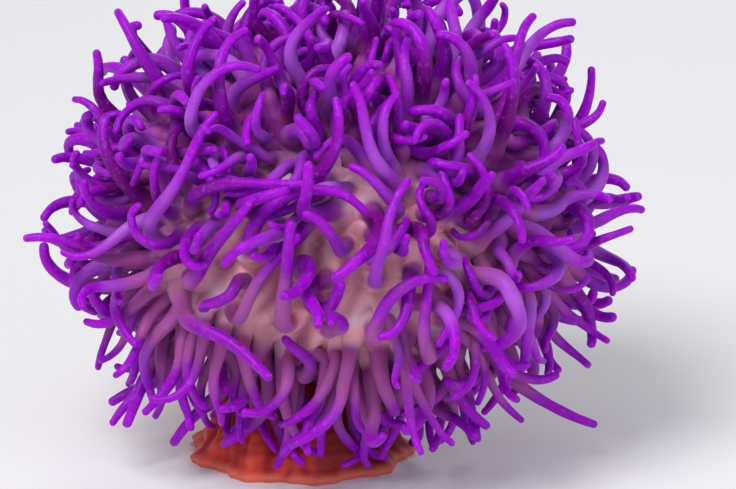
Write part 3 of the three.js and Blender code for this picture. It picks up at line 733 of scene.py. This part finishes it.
def tentacle_rings(plan, lines, roots):
    """Rings of points along each tentacle, its tip, and the places of the rings along it."""
    u, share = stations(plan)
    normal, size = plan["normal"], plan["size"][:, None]
    distance = u * (plan["length"] / LINKS)[:, None]
    relief, _ = crown_relief(plan["tilt"], plan["turn"], roots)
    lift = relief[:, None] * (1 - smooth(0, 4 * FILLET_RADIUS, distance))
    centre = smooth_points(lines, normal, u) + normal[:, None] * lift[..., None]
    tip = smooth_points(lines, normal, np.full((len(lines), 1), float(LINKS)))[:, 0]
    ahead = np.concatenate([centre[:, 1:], tip[:, None]], axis=1)
    behind = np.concatenate([centre[:, :1] - normal[:, None] * MM, centre[:, :-1]], axis=1)
    forward = unit(unit(ahead - centre) + unit(centre - behind))
    swell = 1
    for rate, depth, shift in SWELLS:
        swell = swell + depth * np.sin(rate * u + shift * plan["turn"][:, None])
    radius = radius_at(plan, np.minimum(u, u[:, -len(CAP_ANGLES)][:, None]) / LINKS) * share * swell
    radius += TAPER * size * np.clip(1 - distance / TAPER_LENGTH, 0, 1) ** 2
    fillets = len(FILLET_ANGLES)
    near = np.zeros(u.shape[1])
    near[:fillets] = 1 - np.sin(FILLET_ANGLES)
    to_mouth = unit(FACE - normal * dot(normal, FACE))
    angle = np.arange(SIDES) * FULL_TURN / SIDES
    side = np.cross(ANY_SIDE, normal)
    rings = []
    for s in range(u.shape[1]):
        side = unit(side - forward[:, s] * dot(side, forward[:, s]))
        other = np.cross(forward[:, s], side)
        spoke = side[:, None] * np.cos(angle)[:, None] + other[:, None] * np.sin(angle)[:, None]
        mouthward = np.maximum(np.sum(spoke * to_mouth[:, None], axis=-1), 0)
        widen = FILLET_RADIUS * size * near[s] * (1 + FILLET_STRETCH * mouthward**2)
        rings.append(centre[:, s, None] + spoke * (radius[:, s, None] + widen)[..., None])
    rings = np.stack(rings, axis=1)
    low = rings[:, :fillets]
    tilt, turn, _ = crown_angles(low)
    relief, _ = crown_relief(tilt, turn, roots)
    weight = near[:fillets, None]
    height = relief + distance[:, :fillets, None] - SINK * weight
    rings[:, :fillets] += (on_crown(tilt, turn, height) - low) * weight[..., None]
    return rings, tip, u / LINKS


def cells(patch, count=1, columns=1):
    """Lower corners of the cells that a patch of the texture map is divided in, and their size."""
    low, high = np.array(patch)
    index = np.arange(count)
    size = (high - low) / [columns, math.ceil(count / columns)]
    corner = np.stack([index % columns, index // columns], axis=-1) * size + low
    return corner + size * UV_MARGIN, size * (1 - 2 * UV_MARGIN)


class Skin:
    """Gathers the parts of one mesh: points, faces, their places on the texture map, and values."""

    def __init__(self):
        self.points = []
        self.faces = []
        self.places = []
        self.values = []
        self.count = 0

    def add(self, rings, end, along, patch, values, start=None):
        """Adds bodies of rings, (body, ring, side, axis), closed at the end and maybe the start.
        along has the place of each ring from 0 to 1, patch the cells of the texture map, and
        values one row of numbers per point."""
        corner, size = patch
        bodies, ring_count, sides, _ = rings.shape
        ends = [end] if start is None else [end, start]
        body_points = np.concatenate(
            [rings.reshape(bodies, -1, 3), *[e[:, None] for e in ends]], axis=1)
        per_body = body_points.shape[1]
        offset = self.count + np.arange(bodies)[:, None, None] * per_body
        r, c = np.meshgrid(np.arange(ring_count), np.arange(sides), indexing="ij")
        this, following = offset + r * sides + c, offset + r * sides + (c + 1) % sides
        left, right = c / sides, (c + 1) / sides

        def place(x, y):
            x = np.broadcast_to(x, y.shape)
            return corner[:, None, None] + np.stack([x, y], axis=-1) * size

        at = along[:, :, None] * np.ones(sides)
        self.faces.append(np.stack(
            [this[:, :-1], following[:, :-1], following[:, 1:], this[:, 1:]], axis=-1).reshape(-1, 4))
        self.places.append(np.stack(
            [place(left[:-1], at[:, :-1]), place(right[:-1], at[:, :-1]),
             place(right[:-1], at[:, 1:]), place(left[:-1], at[:, 1:])], axis=-2).reshape(-1, 4, 2))
        for k, ring, edge in ((0, -1, 1.0), (1, 0, 0.0))[: len(ends)]:
            pole = np.broadcast_to(offset[:, 0] + ring_count * sides + k, this[:, ring].shape)
            pair = [this[:, ring], following[:, ring]]
            places = [place(left[:1], at[:, ring, None])[:, 0],
                      place(right[:1], at[:, ring, None])[:, 0]]
            if k:
                pair.reverse()
                places.reverse()
            middle = place((left[:1] + right[:1]) / 2, np.full((bodies, 1, sides), edge))[:, 0]
            self.faces.append(np.stack([*pair, pole], axis=-1).reshape(-1, 3))
            self.places.append(np.stack([*places, middle], axis=-2).reshape(-1, 3, 2))
        self.points.append(body_points.reshape(-1, 3))
        self.values.append(values.reshape(-1, values.shape[-1]))
        self.count += bodies * per_body

    def mesh(self, name):
        mesh = bpy.data.meshes.new(name)
        faces = [face for group in self.faces for face in group.tolist()]
        mesh.from_pydata(np.concatenate(self.points).tolist(), [], faces)
        mesh.polygons.foreach_set("use_smooth", np.ones(len(faces), bool))
        uv = mesh.uv_layers.new(name="OFBake")
        uv.data.foreach_set("uv", np.concatenate([p.ravel() for p in self.places]))
        values = np.concatenate(self.values)
        for i, value_name in enumerate(VALUE_NAMES):
            attribute = mesh.attributes.new(value_name, "FLOAT", "POINT")
            attribute.data.foreach_set("value", values[:, i].astype(np.float32))
        mesh.update()
        return mesh


def point_values(points, roots):
    """Values that the flesh's colours follow, for points on the crown's surface."""
    tilt, turn, _ = crown_angles(points)
    outward = crown_direction(tilt, turn)
    values = np.zeros([*tilt.shape, len(VALUE_NAMES)])
    values[..., TONE] = 0.5
    values[..., RIDGE] = crown_relief(tilt, turn, roots)[1]
    values[..., PALE] = smooth(*PALE_FACE_EDGE, outward @ heading(PALE_FACE_TURN, PALE_FACE_LIFT))
    values[..., COLUMN] = smooth(*COLUMN_TILTS, tilt)
    values[..., BLUSH] = LEAST_BLUSH + BLUSH_RANGE * smooth(*BLUSH_RISES, outward[..., 2])
    return values


def add_crown(skin, roots):
    turns = np.arange(CROWN_SIDES) * FULL_TURN / CROWN_SIDES
    tilt, turn = np.meshgrid(np.radians(CROWN_TILTS), turns, indexing="ij")
    relief, _ = crown_relief(tilt, turn, roots)
    relief = relief + fillet(from_column(on_crown(tilt, turn, relief)))
    rings = on_crown(tilt, turn, relief)
    poles = [on_crown(np.array([t]), np.array([0.0]), np.array([h]))
             for t, h in ((0.0, -SLIT_DEPTH), (math.pi, 0.0))]
    values = point_values(np.concatenate([rings.reshape(-1, 3), *poles]), roots)
    along = 1 - CROWN_TILTS[None] / 180
    skin.add(rings[None], poles[0], along, cells(CROWN_PATCH), values, poles[1])


def add_column(skin, roots):
    top = COLUMN_SECTIONS[-1, 0]
    heights = np.linspace(0, 1, COLUMN_RINGS) ** COLUMN_RING_POWER * top
    angles = np.arange(COLUMN_SIDES) * FULL_TURN / COLUMN_SIDES
    height, angle = np.meshgrid(heights, angles, indexing="ij")
    radius, x, y, depth = column_at(height)
    folds = folds_at(angle, height)
    wrinkles = WRINKLE_DEPTH * np.sin(height / WRINKLE_HEIGHT + 3 * np.sin(4 * angle))
    column_reach = radius * (1 + depth * folds + wrinkles * (depth > 0))
    lobes = 1 + SOLE_LOBE_DEPTH * np.cos(SOLE_LOBES * angle)
    lobes += FOOT_RIPPLE_DEPTH * np.cos(FOOT_RIPPLES * angle + 1)
    share = np.interp(height, SOLE_HEIGHTS, SOLE_SHARES)
    rise = smooth(*FOOT_HEIGHTS, height)
    reach = [r * share * lobes * (1 - rise) + column_reach * rise for r in SOLE_RADII]
    rings = np.stack([
        x * rise + reach[0] * np.cos(angle),
        y * rise + reach[1] * np.sin(angle),
        height,
    ], axis=-1)
    spread = fillet((crown_angles(rings)[2] - 1) * MEAN_RADIUS)
    rings[..., 0] += spread * np.cos(angle)
    rings[..., 1] += spread * np.sin(angle)
    ends = [rings[-1].mean(axis=0)[None], np.zeros((1, 3))]
    values = point_values(np.concatenate([rings.reshape(-1, 3), *ends]), roots)
    values[:, RIDGE] = np.concatenate([folds.ravel() / 2 + 0.5, [0, 0]])
    values[:, COLUMN] = 1
    values[:, RIM] = 1 - smooth(*RIM_HEIGHTS, np.concatenate([height.ravel(), [top, 0]]))
    along = SOLE_SHARE + (1 - SOLE_SHARE) * heights[None] / top
    skin.add(rings[None], ends[0], along, cells(COLUMN_PATCH), values, ends[1])


def add_tentacles(skin, plan, lines, roots):
    rings, tip, along = tentacle_rings(plan, lines, roots)
    bodies, ring_count, sides, _ = rings.shape
    patch = cells(TENTACLE_PATCH, bodies, UV_COLUMNS)
    values = np.repeat(point_values(plan["point"], roots)[:, None], ring_count * sides + 1, axis=1)
    low = len(FILLET_ANGLES)
    values[:, : low * sides] = point_values(rings[:, :low], roots).reshape(bodies, low * sides, -1)
    values[:, :-1, ALONG] = np.repeat(along, sides, axis=1)
    values[:, -1, ALONG] = 1
    values[:, :, TONE] = np.mod(plan["size"] * TONES, 1)[:, None]
    skin.add(rings, tip, along, patch, values)


def build_skin():
    tilt, turn, chosen = main_roots()
    main = tentacle_plans(tilt, turn, 0, chosen)
    main_lines = untangle(main, centre_lines(main))
    fill_tilt, fill_turn = fill_roots(main["point"])
    fill = tentacle_plans(fill_tilt, fill_turn, len(tilt), chosen[:0])
    fill["size"] *= FILL_SIZE
    fill["length"] *= FILL_LENGTH
    outward = crown_direction(fill_tilt, fill_turn)
    fill["aim"] = unit(fill["aim"] - FILL_LEAN * outward * dot(fill["aim"], outward))
    low = smooth(*FILL_HANG_RISES, outward[:, 2])
    fill["aim"] = unit(fill["aim"] - FILL_HANG * low[:, None] * UP)
    fill["curl"] *= 1 - FILL_HANG_UNCURL * low
    fill["length"] *= 1 + FILL_HANG_EXTRA * low
    plan = {key: np.concatenate([main[key], fill[key]]) for key in main}
    lines = np.concatenate([main_lines, centre_lines(fill)])
    lines = untangle(plan, lines, FILL_CLEARANCE, len(tilt))
    roots = plan["tilt"], plan["turn"]
    skin = Skin()
    add_crown(skin, roots)
    add_column(skin, roots)
    add_tentacles(skin, plan, lines, roots)
    return skin.mesh("anemone_skin")


# ---- Flesh ----
def rgb(red, green, blue):
    """Linear colour from the usual 0 to 255 numbers."""
    return [(v / 255 / 12.92) if v <= 10 else ((v / 255 + 0.055) / 1.055) ** 2.4
            for v in (red, green, blue)] + [1]


class Nodes:
    """Short ways to make a material's nodes."""

    def __init__(self, tree):
        self.tree = tree

    def feed(self, socket, value):
        """Links a node's output to a socket, or sets the socket to a plain value."""
        if isinstance(value, bpy.types.NodeSocket):
            self.tree.links.new(value, socket)
        else:
            socket.default_value = value

    def new(self, kind, inputs=None, **settings):
        node = self.tree.nodes.new(kind)
        for key, value in settings.items():
            setattr(node, key, value)
        for key, value in (inputs or {}).items():
            self.feed(node.inputs[key], value)
        return node

    def value(self, name):
        return self.new("ShaderNodeAttribute", attribute_name=name).outputs["Fac"]

    def spread(self, value, from_low, from_high, to_low=0.0, to_high=1.0):
        inputs = {"Value": value, "From Min": from_low, "From Max": from_high,
                  "To Min": to_low, "To Max": to_high}
        return self.new("ShaderNodeMapRange", inputs, interpolation_type="SMOOTHSTEP").outputs[0]

    def mix(self, factor, first, second):
        """Mixes two colours, each a node's output or three numbers from 0 to 255."""
        node = self.new("ShaderNodeMix", {0: factor}, data_type="RGBA")
        for socket, colour in zip(MIXED_SOCKETS, (first, second)):
            plain = isinstance(colour, tuple)
            self.feed(node.inputs[socket], rgb(*colour) if plain else colour)
        return node.outputs[MIX_RESULT]

    def math(self, operation, first, second):
        return self.new("ShaderNodeMath", {0: first, 1: second}, operation=operation).outputs[0]

    def noise(self, where, scale, detail, distortion=0.0):
        inputs = {"Vector": where, "Scale": scale, "Detail": detail, "Distortion": distortion}
        return self.new("ShaderNodeTexNoise", inputs).outputs["Fac"]


def crown_colour(nodes, cloud, fine):
    """Salmon ridges on the face, with pale pink patches of painted sheen and deep rose grooves of
    painted shade, and mauve all round it as painted shade between the tentacles.
    """
    # Painted sheen: pale pink patches over the salmon of the face.
    crest = nodes.mix(nodes.spread(cloud, *PAINTED_SHEEN_CLOUDS), SALMON, PALE_PINK)
    # Painted shade: deep rose in the grooves between the ridges.
    face = nodes.mix(nodes.spread(nodes.value("ridge"), *GROOVE_SHADE_HEIGHTS), DEEP_ROSE, crest)
    # Painted shade: mauve over the crown away from the face.
    shade = nodes.mix(nodes.spread(cloud, *SHADE_CLOUDS), MAUVE, PINK_MAUVE)
    skin = nodes.mix(nodes.value("pale"), shade, face)
    return nodes.mix(nodes.spread(fine, *MOTTLE), skin, DEEP_ROSE)


def column_colour(nodes, where, cloud):
    """Orange folds with apricot patches of painted highlight, painted shade in brick between them and
    in dark red towards +X, and a pale rim at the foot.
    """
    across = nodes.new("ShaderNodeSeparateXYZ", {"Vector": where}).outputs["X"]
    # Painted shade: brick in the hollows between the folds, orange on them.
    fold = nodes.mix(nodes.spread(nodes.value("ridge"), *FOLD_SHADE_HEIGHTS), BRICK, ORANGE)
    # Painted highlight: apricot patches over the folds, placed by the clouds.
    fold = nodes.mix(nodes.spread(cloud, *FOLD_HIGHLIGHT_CLOUDS), fold, APRICOT)
    # Painted shade: the column darkens to dark red towards +X.
    fold = nodes.mix(nodes.spread(across, *SHADED_SIDE), fold, SHADE_RED)
    return nodes.mix(nodes.math("MULTIPLY", nodes.value("rim"), RIM_SHARE), fold, PALE_RIM)


def tentacle_colour(nodes, body, cloud, fine, grain):
    """The body's colour at the root, then pinkish mauve, a purple shaft, lavender on some shafts as a
    paler tone and painted highlight, and a violet tip.
    """
    tone = nodes.value("tone")
    along = nodes.math("MULTIPLY", nodes.value("along"), nodes.spread(cloud, *WANDER))
    past_blush = nodes.math("SUBTRACT", along, nodes.value("blush"))
    # Painted highlight: lavender on some shafts, by tone and clouds, partly a paler tone of their own.
    painted_gleam = nodes.math("MULTIPLY", nodes.spread(tone, *PALE_TONES), nodes.spread(cloud, *GLEAM_CLOUDS))
    shaft = nodes.mix(nodes.spread(tone, *PURPLE_TONES), PLUM, PURPLE)
    shaft = nodes.mix(painted_gleam, shaft, LAVENDER)
    tip = nodes.mix(nodes.spread(fine, *TIP_MOTTLE), VIOLET, MAGENTA)
    colour = nodes.mix(nodes.spread(along, *ROOT_END), body, PINK_MAUVE)
    colour = nodes.mix(nodes.spread(past_blush, *SHAFT_START), colour, shaft)
    colour = nodes.mix(nodes.spread(along, *TIP_START), colour, tip)
    fleck = nodes.math("MULTIPLY", nodes.spread(grain, *FLECKS), nodes.spread(along, *FLECK_START))
    return nodes.mix(fleck, colour, LAVENDER)


def flesh():
    material = bpy.data.materials.new("flesh")
    material.use_nodes = True
    nodes = Nodes(material.node_tree)
    where = nodes.new("ShaderNodeTexCoord").outputs["Object"]
    cloud = nodes.noise(where, CLOUD_SCALE, 3, CLOUD_DISTORTION)
    fine = nodes.noise(where, FINE_SCALE, 3)
    grain = nodes.noise(where, GRAIN_SCALE, 2)
    on_column = nodes.spread(nodes.value("column"), *COLUMN_START)
    body = nodes.mix(on_column, crown_colour(nodes, cloud, fine), column_colour(nodes, where, cloud))
    bump = nodes.new("ShaderNodeBump", {
        "Height": nodes.math("ADD", fine, nodes.math("MULTIPLY", grain, GRAIN_BUMP)),
        "Strength": BUMP_STRENGTH,
        "Distance": BUMP_DISTANCE,
    })
    shader = material.node_tree.nodes["Principled BSDF"]
    for socket, value in {
        "Base Color": tentacle_colour(nodes, body, cloud, fine, grain),
        "Roughness": nodes.spread(fine, *ROUGHNESS),
        "Normal": bump.outputs[0],
        "Specular IOR Level": 0.16,
        "Subsurface Weight": 0.12,
        "Subsurface Radius": (1.0, 0.35, 0.9),
        "Subsurface Scale": 1.2 * MM,
        "Sheen Weight": 0.04,
        "Sheen Roughness": 0.4,
        "Sheen Tint": (0.8, 0.65, 1.0, 1.0),
    }.items():
        nodes.feed(shader.inputs[socket], value)
    return material


# ---- Stage ----
def add_stage():
    bpy.ops.mesh.primitive_plane_add(size=FLOOR_SIZE)
    floor = bpy.context.object
    floor.name = "floor"
    material = bpy.data.materials.new("floor")
    material.use_nodes = True
    shader = material.node_tree.nodes["Principled BSDF"]
    shader.inputs["Base Color"].default_value = rgb(*FLOOR_COLOUR)
    shader.inputs["Roughness"].default_value = FLOOR_ROUGHNESS

    # The camera sees the far floor as it sees the backdrop, so that no horizon shows.
    nodes = Nodes(material.node_tree)
    where = nodes.new("ShaderNodeTexCoord").outputs["Object"]
    away = nodes.new("ShaderNodeVectorMath", {0: where}, operation="LENGTH").outputs["Value"]
    seen = nodes.new("ShaderNodeLightPath").outputs["Is Camera Ray"]
    far = nodes.math("MULTIPLY", nodes.spread(away, *FLOOR_FADE), seen)
    backdrop = nodes.new(
        "ShaderNodeEmission", {"Color": BACKDROP_COLOUR, "Strength": BACKDROP_STRENGTH})
    surface = nodes.new(
        "ShaderNodeMixShader", {0: far, 1: shader.outputs[0], 2: backdrop.outputs[0]})
    output = material.node_tree.nodes["Material Output"]
    nodes.feed(output.inputs["Surface"], surface.outputs[0])
    floor.data.materials.append(material)


def add_light(name, place, size, energy, colour):
    data = bpy.data.lights.new(name, "AREA")
    data.shape = "DISK"
    data.size = size
    data.energy = energy
    data.color = colour
    light = bpy.data.objects.new(name, data)
    light.location = place
    aim = Vector(CROWN_CENTRE) - Vector(place)
    light.rotation_euler = aim.to_track_quat("-Z", "Y").to_euler()
    bpy.context.scene.collection.objects.link(light)


def add_world():
    world = bpy.data.worlds.new("studio")
    bpy.context.scene.world = world
    world.use_nodes = True
    nodes = Nodes(world.node_tree)
    path = nodes.new("ShaderNodeLightPath").outputs["Is Camera Ray"]
    background = world.node_tree.nodes["Background"]
    background.inputs["Color"].default_value = BACKDROP_COLOUR
    strength = nodes.new(
        "ShaderNodeMapRange", {"Value": path, "To Min": WORLD_STRENGTH, "To Max": BACKDROP_STRENGTH})
    nodes.feed(background.inputs["Strength"], strength.outputs[0])


def add_camera():
    lift = math.radians(VIEW_LIFT)
    back = Vector((0, -math.cos(lift), math.sin(lift)))
    nearer = (Vector(CROWN_CENTRE) - Vector(VIEW_CENTRE)).dot(back)
    data = bpy.data.cameras.new("camera")
    data.sensor_width = SENSOR_WIDTH
    data.lens = SENSOR_WIDTH * VIEW_DISTANCE / (PHOTO_WIDTH * MM_PER_PIXEL * MM)
    data.clip_start = 0.01
    camera = bpy.data.objects.new("camera", data)
    camera.location = Vector(VIEW_CENTRE) + back * (nearer + VIEW_DISTANCE)
    camera.rotation_euler = (-back).to_track_quat("-Z", "Y").to_euler()
    bpy.context.scene.collection.objects.link(camera)
    bpy.context.scene.camera = camera


# ---- Scene ----
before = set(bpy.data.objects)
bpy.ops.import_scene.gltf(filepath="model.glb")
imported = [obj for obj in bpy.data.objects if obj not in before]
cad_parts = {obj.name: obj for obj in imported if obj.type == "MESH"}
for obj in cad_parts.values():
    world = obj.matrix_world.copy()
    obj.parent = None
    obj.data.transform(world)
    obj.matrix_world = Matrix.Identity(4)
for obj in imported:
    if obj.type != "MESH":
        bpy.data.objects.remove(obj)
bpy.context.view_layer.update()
bpy.context.scene.view_settings.view_transform = "Standard"

anemone = bpy.data.objects.new("anemone_skin", build_skin())
bpy.context.scene.collection.objects.link(anemone)
anemone.data.materials.append(flesh())
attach(anemone, "root")
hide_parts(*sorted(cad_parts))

add_stage()
for lamp in LAMPS:
    add_light(*lamp)
add_world()
add_camera()
